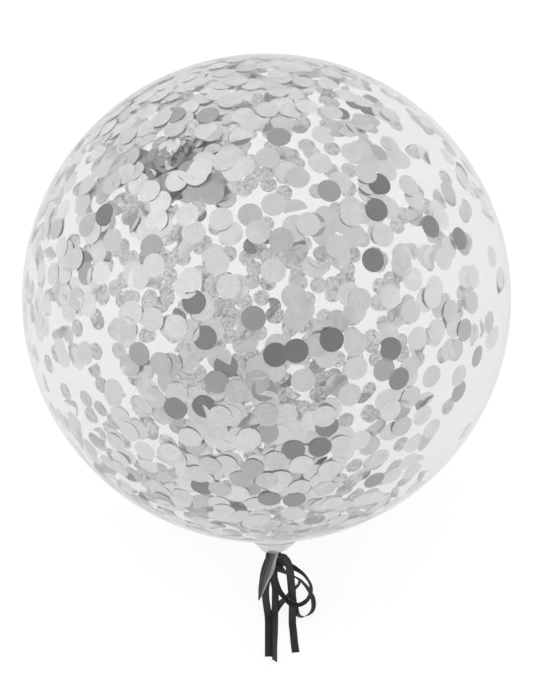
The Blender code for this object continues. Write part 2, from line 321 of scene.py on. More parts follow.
def follow(route, lies_at):
    """Points along the strand, each with the direction across the ribbon there."""
    places = [TIE + RIGHT * right + DOWN * down + FRONT * front for right, down, front, _ in route]
    for place, point in zip(places, route):
        if point[3] is LIES:
            place.z = lies_at
    ends = [places[0]] + places + [places[-1]]
    across = []
    for index, point in enumerate(route):
        run = (ends[index + 2] - ends[index]).normalized()
        across.append(across_ribbon(run, point[3]))
    across = [across[0]] + across + [across[-1]]
    run = []
    for index in range(len(route) - 1):
        steps = max(1, round((places[index + 1] - places[index]).length / RUN_STEP))
        for share in (step / steps for step in range(steps)):
            place = on_curve(*ends[index:index + 4], share)
            run.append((place, on_curve(*across[index:index + 4], share)))
    run.append((places[-1], across[-1]))
    for place, _ in run:
        place.z = max(place.z, FLOOR_REST)
    return run

# %% [markdown]
# Turns and knot
#
# Round the neck the ribbon is bunched to a cord. Three rounds lie beside each other, each
# spun from a small flattened circle, and each tipped a little, because no one winds them
# evenly. The knot is a tight core with two rounds pulled over it, crossing.

# %% Turns and knot
TURNS_MIDDLE = NECK_SIDE * -0.003
TURNS_RADIUS = 0.0056
BUNCH = (0.0007, 0.00055)
KNOT_PLACE = TIE + RIGHT * 0.005 + DOWN * 0.0004
KNOT_SIZE = Vector((0.0029, 0.0017, 0.0033))
KNOT_ROUND = 0.0019
KNOT_BUNCH = (0.0006, 0.0011)
ROUND_TIP = 0.08
ROUND_SPACING = BUNCH[1] * 1.5
TIPS_SEED = 5
BUNCH_SIDES = 10
ROUND_STEPS = 36


def add_round(shape, middle, axis, start, radius, section):
    """A closed ring of bunched ribbon about an axis."""
    start = start.normalized()
    along = axis.normalized()
    turned = Matrix((start, along, start.cross(along))).transposed().to_4x4()
    drawn = bmesh.ops.create_circle(shape, segments=BUNCH_SIDES, radius=1)
    bmesh.ops.scale(shape, vec=(section[0], section[1], 1), verts=drawn["verts"])
    bmesh.ops.translate(shape, vec=(radius, 0, 0), verts=drawn["verts"])
    bmesh.ops.transform(shape, matrix=Matrix.Translation(middle) @ turned, verts=drawn["verts"])
    edges = {edge for corner in drawn["verts"] for edge in corner.link_edges}
    bmesh.ops.spin(shape, geom=list(edges), cent=middle, axis=axis, angle=math.tau,
                   steps=ROUND_STEPS, use_merge=True)


bunched, tree, shader = new_finish(
    "bunched_ribbon", Base_Color=(0.02, 0.02, 0.021, 1), Roughness=0.62
)
crinkled(tree, shader, 900.0, 0.6)
shape = bmesh.new()
tips = random.Random(TIPS_SEED)
for level in (-1, 0, 1):
    tip = NECK_SIDE * tips.uniform(-ROUND_TIP, ROUND_TIP)
    tip += FRONT * tips.uniform(-ROUND_TIP, ROUND_TIP)
    middle = TIE + TURNS_MIDDLE + NECK_AXIS * level * ROUND_SPACING
    start = NECK_SIDE - NECK_AXIS * tip.dot(NECK_SIDE)
    add_round(shape, middle, NECK_AXIS + tip, start, TURNS_RADIUS, BUNCH)
core = bmesh.ops.create_uvsphere(shape, u_segments=18, v_segments=12, radius=1)
bmesh.ops.scale(shape, vec=KNOT_SIZE, verts=core["verts"])
level_turn = Matrix((RIGHT, -FRONT, -DOWN)).transposed().to_4x4()
bmesh.ops.transform(shape, matrix=Matrix.Translation(KNOT_PLACE) @ level_turn, verts=core["verts"])
for lean in (0.5, -0.6):
    add_round(shape, KNOT_PLACE, RIGHT + DOWN * lean, FRONT, KNOT_ROUND, KNOT_BUNCH)
bmesh.ops.remove_doubles(shape, verts=shape.verts, dist=0.00001)
bmesh.ops.recalc_face_normals(shape, faces=shape.faces)
knot = new_piece("bunched_knot", shape, bunched)
knot.data.shade_smooth()
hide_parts("ribbon_knot")
print("knot:", len(knot.data.polygons), "faces")

# %% [markdown]
# The strands
#
# A strand is a narrow grid laid along its route and then given its thickness, which keeps
# its width true through every twist. Seven lines of points across it leave room for the
# slight hollow that a woven ribbon has between its two firm edges. The same grid gets the
# weave's UV map, because its rows and columns already count along and across.

# %% Make a strand
RIBBON_THICKNESS = 0.0003
HOLLOW = 0.0003
HOLLOW_MIDDLE = 0.4  # keeps the hollow's middle depth on the route
STEPS_ACROSS = 6


def make_strand(node, route, lies_at=FLOOR_REST):
    """One strand of ribbon in place of its solid."""
    run = follow(route, lies_at)
    last = len(run) - 1
    lengths = [0.0]
    for (before, _), (after, _) in zip(run, run[1:]):
        lengths.append(lengths[-1] + (after - before).length)
    shape = bmesh.new()
    bmesh.ops.create_grid(shape, x_segments=last, y_segments=STEPS_ACROSS, size=1)
    weave = shape.loops.layers.uv.new("weave")
    for face in shape.faces:
        for loop in face.loops:
            index = round((loop.vert.co.x + 1) / 2 * last)
            loop[weave].uv = (lengths[index], loop.vert.co.y * RIBBON_WIDTH / 2)
    for corner in shape.verts:
        index = round((corner.co.x + 1) / 2 * last)
        aside = corner.co.y
        place, across = run[index]
        way = (run[min(index + 1, last)][0] - run[max(index - 1, 0)][0]).normalized()
        across = (across - way * across.dot(way)).normalized()
        hollow = way.cross(across) * HOLLOW * (aside * aside - HOLLOW_MIDDLE)
        corner.co = place + across * aside * RIBBON_WIDTH / 2 + hollow
        corner.co.z = max(corner.co.z, FLOOR_REST / 2)
    shape.normal_update()
    strand = new_piece(node.replace("ribbon", "woven"), shape, black)
    strand.data.shade_smooth()
    thicken = strand.modifiers.new("thickness", "SOLIDIFY")
    thicken.thickness = RIBBON_THICKNESS
    thicken.offset = 0
    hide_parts(node)
    print(f"{node}: {lengths[-1] * 1000:.0f} mm of ribbon")
    return strand

# %% The six strands
make_strand("ribbon_tail_right", TAIL_RIGHT)
make_strand("ribbon_tail_left", TAIL_LEFT, SECOND_LAYER)
make_strand("ribbon_tail_middle", TAIL_MIDDLE)
make_strand("ribbon_tail_short", TAIL_SHORT)
make_strand("ribbon_loop_large", LOOP_LARGE)
make_strand("ribbon_loop_small", LOOP_SMALL)

# %% [markdown]
# Clear film
#
# The film is see-through by two plain values. A low Alpha lets sight and light pass, and
# leaves a faint gloss. A thin volume inside the film's thickness makes it a little milky, and
# a trace of emission in it stands for the light that real film carries along inside itself.
# Near the outline the way through the film is long, so the ball gets its soft pale rim from
# its shape alone, as real film does.

# %% Clear film
clear, tree, shader = new_finish(
    "clear_film", Base_Color=(0.16, 0.16, 0.165, 1), Roughness=0.07, IOR=1.6, Alpha=0.045
)
crinkled(tree, shader, 30.0, 0.04)
inside = add_node(tree, "VolumePrincipled", {
    "Color": (0.98, 0.98, 0.985, 1), "Density": 105.0, "Emission Strength": 9.0,
})
tree.links.new(inside.outputs["Volume"], tree.nodes["Material Output"].inputs["Volume"])

# The film gathered into the collar is thicker, so less passes through it.
gathered, tree, shader = new_finish(
    "collar_film", Base_Color=(0.72, 0.72, 0.73, 1), Roughness=0.25, IOR=1.5, Alpha=0.3
)
crinkled(tree, shader, 260.0, 0.5)
print("film finishes:", clear.name, "and", gathered.name)

# %% [markdown]
# The ball and its collar
#
# Film stretched by air is a ball, and near the tie it turns into a small cup with pleats. An
# outline from the top of the ball to the tie, spun about the neck, makes both at once. The
# outline has a regular arc for the ball and a few sizes read from the photograph for the
# collar. The floor cuts the ball flat where it rests, and the wall goes inwards.

# %% Ball and collar
FILM_WALL = 0.001
ARC_STEPS = 90
SPIN_STEPS = 180
COLLAR_RADIUS = 0.0315
COLLAR = (  # distance from the ball's centre, and radius
    (0.301, 0.0315), (0.304, 0.0285), (0.307, 0.025), (0.3107, 0.0213), (0.3135, 0.018),
    (0.3159, 0.0145), (0.3178, 0.0108), (0.319, 0.007), (0.3197, 0.0047), (0.3215, 0.0045),
    (0.3228, 0.0045), (0.3228, 0.0),
)
GATHERED_FROM = 0.3055
PLEATS_FROM = 0.3085
PLEATS_TO = 0.3197
PLEAT_DEPTH = 0.09
SPOT_BORDER = 0.001
DRAWN_ASIDE = 0.0033


def pleated(place):
    """Where the gathered film of the collar goes: pleats, and a drift to one side."""
    from_centre = place - BALL_CENTRE
    distance = from_centre.dot(NECK_AXIS)
    share = (distance - PLEATS_FROM) / (PLEATS_TO - PLEATS_FROM)
    if share <= 0:
        return place
    share = min(share, 1)
    aside = from_centre - NECK_AXIS * distance
    angle = math.atan2(aside.dot(FRONT), aside.dot(NECK_SIDE))
    # Nine broad pleats, with finer ones over them
    waves = 0.6 * math.cos(9 * angle) + 0.4 * math.cos(22 * angle + 1)
    drift = NECK_SIDE * DRAWN_ASIDE * share * share
    return BALL_CENTRE + NECK_AXIS * distance + aside * (1 + PLEAT_DEPTH * share * waves) - drift


shape = bmesh.new()
last_angle = math.pi - math.asin(COLLAR_RADIUS / BALL_RADIUS)
outline = []
for step in range(ARC_STEPS + 1):
    angle = last_angle * step / ARC_STEPS
    outline.append((-BALL_RADIUS * math.cos(angle), BALL_RADIUS * math.sin(angle)))
corners = [
    shape.verts.new(BALL_CENTRE + NECK_AXIS * distance + NECK_SIDE * radius)
    for distance, radius in outline + list(COLLAR)
]
line = [shape.edges.new(pair) for pair in zip(corners, corners[1:])]
bmesh.ops.spin(shape, geom=corners + line, cent=BALL_CENTRE, axis=NECK_AXIS, angle=math.tau,
               steps=SPIN_STEPS, use_merge=True)
bmesh.ops.remove_doubles(shape, verts=shape.verts, dist=0.00002)
for corner in shape.verts:
    corner.co = pleated(corner.co)
bmesh.ops.bisect_plane(shape, geom=shape.verts[:] + shape.edges[:] + shape.faces[:],
                       plane_co=(0, 0, 0), plane_no=UP, clear_inner=True)
rest_edge = [edge for edge in shape.edges if edge.is_boundary]
rest = bmesh.ops.holes_fill(shape, edges=rest_edge, sides=0)["faces"]
bmesh.ops.inset_region(shape, faces=rest, thickness=SPOT_BORDER, use_even_offset=True)
bmesh.ops.recalc_face_normals(shape, faces=shape.faces)
for face in shape.faces:
    from_centre = face.calc_center_median() - BALL_CENTRE
    face.material_index = int(from_centre.dot(NECK_AXIS) > GATHERED_FROM)
ball = new_piece("film_ball", shape, clear)
ball.data.materials.append(gathered)
ball.data.shade_smooth()
wall = ball.modifiers.new("wall", "SOLIDIFY")
wall.thickness = FILM_WALL
wall.offset = -1
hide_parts("balloon")
print("film:", len(ball.data.polygons), "faces, flat spot from", len(rest_edge), "edges")

# %% [markdown]
# The end of the neck
#
# Below the tie the film fans out flat and ends in a slanted point. So many layers lie there
# that it looks smoke grey. Its grey also holds painted sheen: it is painted lighter towards
# one edge, with light streaks along its folds. A grid is folded to and fro across its width,
# laid along the neck's own middle line, and given a thin wall.

# %% Smoky film
smoky, tree, shader = new_finish("gathered_film", Roughness=0.22, IOR=1.5, Alpha=0.9)
folds = add_node(tree, "UVMap", uv_map="folds")
stretch = add_node(tree, "Mapping")
stretch.inputs["Scale"].default_value = (26, 3, 1)
sheen_streaks = add_node(tree, "TexNoise", {"Scale": 1.0, "Detail": 4.0, "Roughness": 0.6})
apart = add_node(tree, "SeparateXYZ")
sheen_across_width = add_node(tree, "Math", {1: 0.28}, operation="MULTIPLY_ADD")
# Painted sheen: near black at one edge to light grey at the other, shifted in streaks along the
# folds.
painted_light_tones = add_node(tree, "ValToRGB")
painted_light_tones.color_ramp.elements[0].position = 0.2
painted_light_tones.color_ramp.elements[0].color = (0.035, 0.035, 0.037, 1)
painted_light_tones.color_ramp.elements[1].position = 0.97
painted_light_tones.color_ramp.elements[1].color = (0.45, 0.45, 0.46, 1)
for position, painted_light_tone in ((0.55, 0.06), (0.7, 0.12), (0.88, 0.2)):
    painted_light_tones.color_ramp.elements.new(position).color = (painted_light_tone, painted_light_tone, painted_light_tone, 1)
tree.links.new(folds.outputs["UV"], stretch.inputs["Vector"])
tree.links.new(stretch.outputs["Vector"], sheen_streaks.inputs["Vector"])
tree.links.new(folds.outputs["UV"], apart.inputs["Vector"])
tree.links.new(sheen_streaks.outputs["Fac"], sheen_across_width.inputs[0])
tree.links.new(apart.outputs["X"], sheen_across_width.inputs[2])
tree.links.new(sheen_across_width.outputs["Value"], painted_light_tones.inputs["Fac"])
tree.links.new(painted_light_tones.outputs["Color"], shader.inputs["Base Color"])
print("smoky film:", len(painted_light_tones.color_ramp.elements), "greys across its width")

# %% End of the neck
NECK_END = (  # down from the centre, middle to the right, half width, fold depth, to the front
    (0.3155, -0.0038, 0.0050, 0.0012, 0.0050), (0.3185, -0.0042, 0.0078, 0.0010, 0.0078),
    (0.3230, -0.0050, 0.0075, 0.0010, 0.0082), (0.328, -0.0070, 0.0078, 0.0010, 0.0072),
    (0.336, -0.0093, 0.0084, 0.0010, 0.0052), (0.346, -0.0123, 0.0078, 0.0009, 0.0022),
    (0.356, -0.0157, 0.0059, 0.0008, -0.0015), (0.366, -0.0187, 0.0042, 0.0007, -0.0050),
    (0.376, -0.0212, 0.0021, 0.0005, -0.0095), (0.382, -0.0233, 0.0005, 0.0002, -0.0130),
)
FOLDS = 3.5
END_STEPS = 40
END_COLUMNS = 36
END_WALL = 0.0003


def neck_end_at(share):
    """The five sizes of the neck's end at a share of its length."""
    spans = len(NECK_END) - 1
    index = min(int(share * spans), spans - 1)
    rows = [Vector(NECK_END[min(max(index + step, 0), spans)]) for step in (-1, 0, 1, 2)]
    return on_curve(*rows, share * spans - index)


shape = bmesh.new()
bmesh.ops.create_grid(shape, x_segments=END_COLUMNS, y_segments=END_STEPS, size=1)
map_folds = shape.loops.layers.uv.new("folds")
for face in shape.faces:
    for loop in face.loops:
        loop[map_folds].uv = ((loop.vert.co.x + 1) / 2, (loop.vert.co.y + 1) / 2)
for corner in shape.verts:
    aside = corner.co.x
    share = (corner.co.y + 1) / 2
    distance, middle, half_width, fold_depth, forward = neck_end_at(share)
    # The folds drift sideways down the length and are not all as deep
    fold = math.sin(aside * FOLDS * math.pi + 2 * share) * (1 - 0.3 * math.cos(aside * 5))
    corner.co = BALL_CENTRE + NECK_AXIS * distance + NECK_SIDE * (middle + half_width * aside)
    corner.co += FRONT * (forward + fold_depth * fold * 0.8)
shape.normal_update()
neck_end = new_piece("film_neck_end", shape, smoky)
neck_end.data.shade_smooth()
wall = neck_end.modifiers.new("wall", "SOLIDIFY")
wall.thickness = END_WALL
wall.offset = 0
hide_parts("balloon")
print("neck end:", len(neck_end.data.polygons), "faces")

# %% [markdown]
# Foil finish
#
# Confetti foil is plastic film with a layer of aluminium, so it is a metal with a satin
# gloss. In a white studio most of it looks light grey, and the pieces that turn away look
# darker. That is painted reflection here: each face carries a painted grey as an attribute,
# light or dark for what the disc would reflect, so one material serves them all. The side
# that clings to the film lies smooth, and the inner side is wrinkled. A second attribute
# marks the inner side, which gets stronger crinkles and a painted light and shade of its
# wrinkles in its grey.

# %% Foil finish
foil, tree, shader = new_finish("silver_foil", Metallic=0.85, Roughness=0.22)
# Painted reflection: the face attribute holds each disc's painted grey.
painted_light_tone = add_node(tree, "Attribute", attribute_name="painted_light_tone")
cloud = add_node(tree, "TexNoise", {"Scale": 90.0, "Detail": 5.0, "Roughness": 0.65})
spot = add_node(tree, "TexCoord")
mottle = add_node(tree, "MapRange", {"To Min": 0.86, "To Max": 1.14})
toned = add_node(tree, "Math", operation="MULTIPLY")
tree.links.new(spot.outputs["Object"], cloud.inputs["Vector"])
tree.links.new(cloud.outputs["Fac"], mottle.inputs["Value"])
tree.links.new(painted_light_tone.outputs["Fac"], toned.inputs[0])
tree.links.new(mottle.outputs["Result"], toned.inputs[1])
inner_side = add_node(tree, "Attribute", attribute_name="inner")
# Painted light and shade of the wrinkles: on the inner side a fine noise paints the grey up to 60
# percent lighter or darker.
wrinkle_light_noise = add_node(tree, "TexNoise", {
    "Scale": 180.0, "Detail": 3.0, "Roughness": 0.65, "Distortion": 1.5,
})
painted_wrinkle_light = add_node(tree, "MapRange", {
    "From Min": 0.3, "From Max": 0.7, "To Min": -0.6, "To Max": 0.6,
})
only_inner = add_node(tree, "Math", {2: 1.0}, operation="MULTIPLY_ADD")
with_painted_wrinkle_light = add_node(tree, "Math", operation="MULTIPLY")
tree.links.new(spot.outputs["Object"], wrinkle_light_noise.inputs["Vector"])
tree.links.new(wrinkle_light_noise.outputs["Fac"], painted_wrinkle_light.inputs["Value"])
tree.links.new(painted_wrinkle_light.outputs["Result"], only_inner.inputs[0])
tree.links.new(inner_side.outputs["Fac"], only_inner.inputs[1])
tree.links.new(toned.outputs["Value"], with_painted_wrinkle_light.inputs[0])
tree.links.new(only_inner.outputs["Value"], with_painted_wrinkle_light.inputs[1])
tree.links.new(with_painted_wrinkle_light.outputs["Value"], shader.inputs["Base Color"])
deeper = add_node(tree, "MapRange", {"To Min": 0.33, "To Max": 1.0})
foil_crinkles = crinkled(tree, shader, 320.0, 0.33)
tree.links.new(inner_side.outputs["Fac"], deeper.inputs["Value"])
tree.links.new(deeper.outputs["Result"], foil_crinkles.inputs["Strength"])
print("foil finish:", len(tree.nodes), "nodes")

# %% [markdown]
# Kinds of confetti
#
# A punched disc of foil is a very thin cylinder. Flat ones are left as they are. A crease is
# a straight cut across the disc whose two sides then lift, so that every crease stays sharp
# and every part between the creases stays flat. A pinch is a sharp narrow crease, many small
# parallel creases make a rolled disc, and a disc folded over turns one side about its cut. A
# few of each kind are enough, because every copy is turned by chance.

# %% Cut and crease discs
DISC_RADIUS = 0.0125
DISC_THICKNESS = 0.00012
DISC_SIDES = 22
PINCH_WIDTH = 0.0007
PINCH_DEPTH = 0.0006
PINCHED_SHARE = 0.4
KINDS_SEED = 11
chance = random.Random(KINDS_SEED)


def new_disc():
    """A flat disc in the XY plane, with Z towards the film."""
    shape = bmesh.new()
    bmesh.ops.create_cone(shape, cap_ends=True, cap_tris=False, segments=DISC_SIDES,
                          radius1=DISC_RADIUS, radius2=DISC_RADIUS, depth=DISC_THICKNESS)
    return shape


def cut(shape, offset, angle):
    """Cut straight across a disc. Returns the cut's place and the direction square to it."""
    aside = Vector((math.cos(angle), math.sin(angle), 0))
    place = aside * offset
    bmesh.ops.bisect_plane(shape, geom=shape.verts[:] + shape.edges[:] + shape.faces[:],
                           plane_co=place, plane_no=aside)
    return place, aside


def crease(shape, offset, angle, slope):
    """Lift both sides of a cut by this slope."""
    place, aside = cut(shape, offset, angle)
    for corner in shape.verts:
        corner.co.z += slope * abs((corner.co - place).dot(aside))


def pinch(shape, offset, angle):
    """A sharp narrow crease straight across."""
    for side in (-1, 1):
        cut(shape, offset + side * PINCH_WIDTH, angle)
    place, aside = cut(shape, offset, angle)
    for corner in shape.verts:
        if abs((corner.co - place).dot(aside)) < PINCH_WIDTH / 2:
            corner.co.z -= PINCH_DEPTH


def finished_kind(name, shape):
    """The mesh of a kind of disc, shifted so that nothing of it lies past Z = 0."""
    top = max(corner.co.z for corner in shape.verts)
    bmesh.ops.translate(shape, vec=(0, 0, -top), verts=shape.verts)
    shape.normal_update()
    mesh = bpy.data.meshes.new(name)
    shape.to_mesh(mesh)
    shape.free()
    mesh.attributes.new("painted_light_tone", "FLOAT", "FACE")
    inner = mesh.attributes.new("inner", "FLOAT", "FACE")
    inner.data.foreach_set("value", [float(face.normal.z < 0) for face in mesh.polygons])
    return mesh


def creased_kind(creases, steepest):
    """A disc with creases here and there."""
    shape = new_disc()
    for _ in range(creases):
        offset = chance.uniform(-0.6, 0.6) * DISC_RADIUS
        crease(shape, offset, chance.uniform(0, math.pi), chance.uniform(-steepest, steepest))
    if chance.random() < PINCHED_SHARE:
        pinch(shape, chance.uniform(-0.5, 0.5) * DISC_RADIUS, chance.uniform(0, math.pi))
    return finished_kind("creased", shape)


def rolled_kind(creases, slope):
    """A disc bent one way, by parallel creases."""
    shape = new_disc()
    angle = chance.uniform(0, math.pi)
    for step in range(creases):
        offset = ((step + 0.5) / creases * 2 - 1) * DISC_RADIUS * 0.9
        crease(shape, offset, angle, -slope / creases)
    return finished_kind("rolled", shape)


def folded_kind(turn):
    """A disc folded over along a cut."""
    shape = new_disc()
    place, aside = cut(shape, chance.uniform(-0.1, 0.45) * DISC_RADIUS, chance.uniform(0, math.tau))
    beyond = [corner for corner in shape.verts if (corner.co - place).dot(aside) > DISC_THICKNESS]
    hinge = aside.cross(Vector((0, 0, 1)))
    turned = Matrix.Rotation(turn, 3, hinge)
    bmesh.ops.rotate(shape, cent=place, matrix=turned, verts=beyond)
    return finished_kind("folded", shape)


flat_kind = finished_kind("flat", new_disc())
creased_kinds = [creased_kind(chance.choice((1, 2, 3)), 0.18) for _ in range(14)]
rolled_kinds = [rolled_kind(4, chance.uniform(0.1, 0.35)) for _ in range(8)]
folded_kinds = [folded_kind(chance.uniform(1.2, 2.9)) for _ in range(8)]
crumpled_kinds = [creased_kind(7, 0.36) for _ in range(12)]
print("kinds:", 1 + len(creased_kinds + rolled_kinds + folded_kinds + crumpled_kinds))

# %% [markdown]
# Where the confetti clings
#
# Static spreads the discs over the film, densely at the top and round the neck and thinly
# at the sides. Places on a golden-angle spiral are even all over a ball. Each is then shaken
# out of its place, and kept or dropped by how densely that part of the film is covered.

# %% Spread the confetti
SPIRAL_PLACES = 5200
SHAKE = 0.055
GOLDEN_ANGLE = math.pi * (3 - math.sqrt(5))
NECK_MOUTH = math.cos(math.radians(6.8))  # no disc lies over the neck's mouth
PATCH = (RIGHT * -0.31 - DOWN * 0.47 + FRONT * 0.82).normalized()
PATCH_CLEAR = 0.13
PATCH_THINNED = 0.75
EVEN_SHARE = 0.44
LEFT_THINNING = 0.28
RIGHT_THINNING = 0.4
CROWDS = (  # to the right, up, reach and change, as the photograph shows them
    (0.0, -0.68, 0.3, 0.65), (-0.25, -0.33, 0.18, 0.35), (-0.28, 0.82, 0.36, 0.5),
    (-0.55, 0.52, 0.2, 0.22), (0.02, 0.42, 0.22, -0.28), (0.5, 0.72, 0.32, -0.22),
    (0.32, 0.28, 0.13, 0.22), (0.55, -0.62, 0.22, -0.14), (-0.5, -0.72, 0.2, -0.1),
    (0.05, -0.95, 0.2, -0.34), (-0.62, 0.16, 0.13, 0.35), (0.72, -0.66, 0.2, -0.2),
    (0.92, -0.36, 0.16, -0.2), (-0.75, -0.3, 0.2, -0.12), (0.0, 0.02, 0.16, -0.16),
)
SPREAD_SEED = 23
spread = random.Random(SPREAD_SEED)


def density(right, up):
    """The share of the spiral's places that is kept, by direction in the photograph's view."""
    thinning = RIGHT_THINNING if right > 0 else LEFT_THINNING
    share = EVEN_SHARE - thinning * right * right
    for middle_right, middle_up, reach, change in CROWDS:
        apart = (right - middle_right) ** 2 + (up - middle_up) ** 2
        share += change * math.exp(-apart / reach**2)
    return share


directions = []
for index in range(SPIRAL_PLACES):
    up = 1 - 2 * (index + 0.5) / SPIRAL_PLACES
    level = math.sqrt(1 - up * up)
    angle = index * GOLDEN_ANGLE
    place = RIGHT * level * math.cos(angle) - DOWN * up + FRONT * level * math.sin(angle)
    place += Vector([spread.uniform(-SHAKE, SHAKE) for _ in range(3)])
    place.normalize()
    kept = spread.random() < density(place.dot(RIGHT), -place.dot(DOWN))
    heaped = (place - PATCH).length < PATCH_CLEAR and spread.random() < PATCH_THINNED
    if kept and not heaped and place.dot(NECK_AXIS) < NECK_MOUTH:
        directions.append(place)
print(len(directions), "discs spread over the film")

# %% [markdown]
# Laying the discs
#
# A disc lies flat against the film, tilted a little, some deeper than others where they lie
# on each other. A copy of its kind's mesh gets its painted grey, which stands for reflection,
# is moved to its place and is added to one large bmesh. The flat spot on the floor needs
# care, because there the film is nearer than the ball's radius.

# %% Lay discs
FILM_INSIDE = BALL_RADIUS - FILM_WALL
CLEARANCE = 0.0003
AGAINST_FILM = math.sqrt(FILM_INSIDE**2 - DISC_RADIUS**2) - CLEARANCE
ABOVE_SPOT = FILM_WALL + 0.0004
NEAR_SPOT = -0.9
INNER_PAINTED_LIGHT = 1.2  # painted light: the inner side is painted brighter, for the dimmer light inside the ball
INNER_MOST = 1.0


class Layer:
    """One piece of the model that holds many discs."""

    def __init__(self, name):
        self.name = name
        self.shape = bmesh.new()
        self.count = 0

    def lay(self, kind, direction, depth, tilt, painted_light_tone):
        """Add a disc under the film in this direction."""
        spun = Quaternion((0, 0, 1), spread.uniform(0, math.tau))
        turned = direction.to_track_quat("Z", "Y") @ spun @ Quaternion((1, 0, 0), tilt)
        distance = AGAINST_FILM - depth - DISC_RADIUS * abs(math.sin(tilt))
        if direction.z < NEAR_SPOT:
            reach = DISC_RADIUS * (math.sqrt(1 - min(1, direction.z**2)) + abs(math.sin(tilt)))
            distance = min(distance, (BALL_CENTRE.z - ABOVE_SPOT - depth - reach) / -direction.z)
        place = Matrix.Translation(BALL_CENTRE + direction * distance) @ turned.to_matrix().to_4x4()
        disc = kind.copy()
        # Painted light: the inner side, seen on the far discs, is painted brighter.
        inner = min(painted_light_tone * INNER_PAINTED_LIGHT, INNER_MOST)
        painted_light_tones = [inner if face.normal.z < 0 else painted_light_tone for face in kind.polygons]
        disc.attributes["painted_light_tone"].data.foreach_set("value", painted_light_tones)
        disc.transform(place)
        self.shape.from_mesh(disc)
        bpy.data.meshes.remove(disc)
        self.count += 1

    def finish(self):
        """The piece of all its discs."""
        made = new_piece(self.name, self.shape, foil)
        print(f"{self.name}: {self.count} discs, {len(made.data.polygons)} faces")
        return made


flat_layer = Layer("confetti_flat")
creased_layer = Layer("confetti_creased")
folded_layer = Layer("confetti_folded")
crumpled_layer = Layer("confetti_crumpled")

# %% [markdown]
# Painted tones
#
# Most discs are painted an even light grey, some middle grey and a few dark, as painted
# reflection of the bright studio and of its darker parts. The darkest ones give the balloon
# its sparkle, so those that stand out in the photograph are listed one by one, to the right
# and up in the ball's outline as shares of its radius.

# %% Dark discs listed one by one
OUTLINE_SLOPE = math.tan(math.asin(BALL_RADIUS / CAMERA_DISTANCE))
BY_HAND_DEPTH = 0.0003  # under the outermost discs and over all the others
NEAR_DARK = (
    (0.453, 0.364), (0.673, 0.294), (0.792, 0.245), (0.437, 0.156), (-0.298, -0.016),
    (-0.253, -0.163), (-0.257, -0.445), (-0.375, -0.453), (0.122, -0.216), (0.037, -0.233),
    (0.22, -0.612), (0.11, -0.624), (0.269, -0.171), (0.51, -0.21), (0.543, -0.331),
    (0.249, -0.526), (-0.265, -0.775), (0.012, -0.824), (0.114, -0.828), (0.196, -0.91),
    (-0.665, 0.343), (0.465, 0.469),
)
NEAR_MIDDLE = (
    (-0.241, 0.751), (-0.376, 0.751), (-0.473, 0.213), (0.051, 0.661), (-0.053, -0.082),
    (-0.204, -0.343), (-0.102, -0.743), (0.551, -0.461), (0.813, -0.131), (0.482, -0.294),
    (-0.522, -0.228), (0.788, -0.383), (-0.318, 0.523),
)
FAR_DARK = (
    (-0.278, 0.343), (-0.424, 0.396), (-0.163, 0.074), (-0.004, 0.253), (-0.822, 0.135),
    (0.416, 0.768), (0.359, 0.796), (0.306, 0.755), (-0.208, -0.249), (0.318, 0.045), (0.8, 0.523),
    (0.743, -0.09), (0.461, -0.649),
)


def on_film(right, up, far=False):
    """The direction from the ball's centre to the film at a place in its outline."""
    eye = FRONT * CAMERA_DISTANCE
    ray = ((RIGHT * right - DOWN * up) * OUTLINE_SLOPE - FRONT).normalized()
    half = eye.dot(ray)
    root = math.sqrt(max(half * half - CAMERA_DISTANCE**2 + FILM_INSIDE**2, 0))
    return (eye + ray * (root - half if far else -root - half)).normalized()


def tilted(most):
    """A small tilt, seldom near the most."""
    return most * (spread.random() ** 2) * spread.choice((-1, 1))


# The listed discs are painted dark or middle grey, as painted reflection.
BY_HAND = (  # places, darkest and lightest tone, and whether on the far side
    (NEAR_DARK, (0.17, 0.28), False), (NEAR_MIDDLE, (0.38, 0.5), False),
    (FAR_DARK, (0.17, 0.3), True),
)
for places, painted_light_tones, far in BY_HAND:
    for right, up in places:
        flat_layer.lay(flat_kind, on_film(right, up, far), BY_HAND_DEPTH, 0, spread.uniform(*painted_light_tones))
print(flat_layer.count, "discs placed by hand")

# %% Lay the spread confetti
# Painted reflection: shares of discs painted light, middle and dark grey.
PAINTED_LIGHT_TONES = (  # share, darkest and lightest
    (0.79, 0.78, 0.89), (0.165, 0.62, 0.79), (0.033, 0.42, 0.58), (0.012, 0.26, 0.38),
)
FLAT_DEPTHS = (0.0, 0.0006, 0.0009, 0.0012)  # so far apart that flat discs pass under each other
OTHER_DEPTH = 0.0006
BULKY_DEPTH = 0.0005  # how much deeper folded and crumpled discs lie
NECK_PAINTED_SHADE = 0.12  # painted shade: the discs round the neck are painted this much darker
NECK_REACH = 0.3
FLAT_TILT, BENT_TILT, FOLDED_TILT, CRUMPLED_TILT = 0.05, 0.08, 0.2, 0.35
FLAT_TO, CREASED_TO, ROLLED_TO, FOLDED_TO = 0.48, 0.7, 0.8, 0.91


def chosen_painted_light_tone(direction):
    """Painted grey by the shares of light, middle and dark discs, and painted shade at the neck."""
    # Painted shade: discs are painted darker towards the neck.
    shade = 1 - NECK_PAINTED_SHADE * min(max(direction.dot(DOWN) / NECK_REACH, 0), 1)
    pick = spread.random()
    for share, darkest, lightest in PAINTED_LIGHT_TONES:
        pick -= share
        if pick <= 0:
            return shade * spread.uniform(darkest, lightest)
    return shade * PAINTED_LIGHT_TONES[0][1]


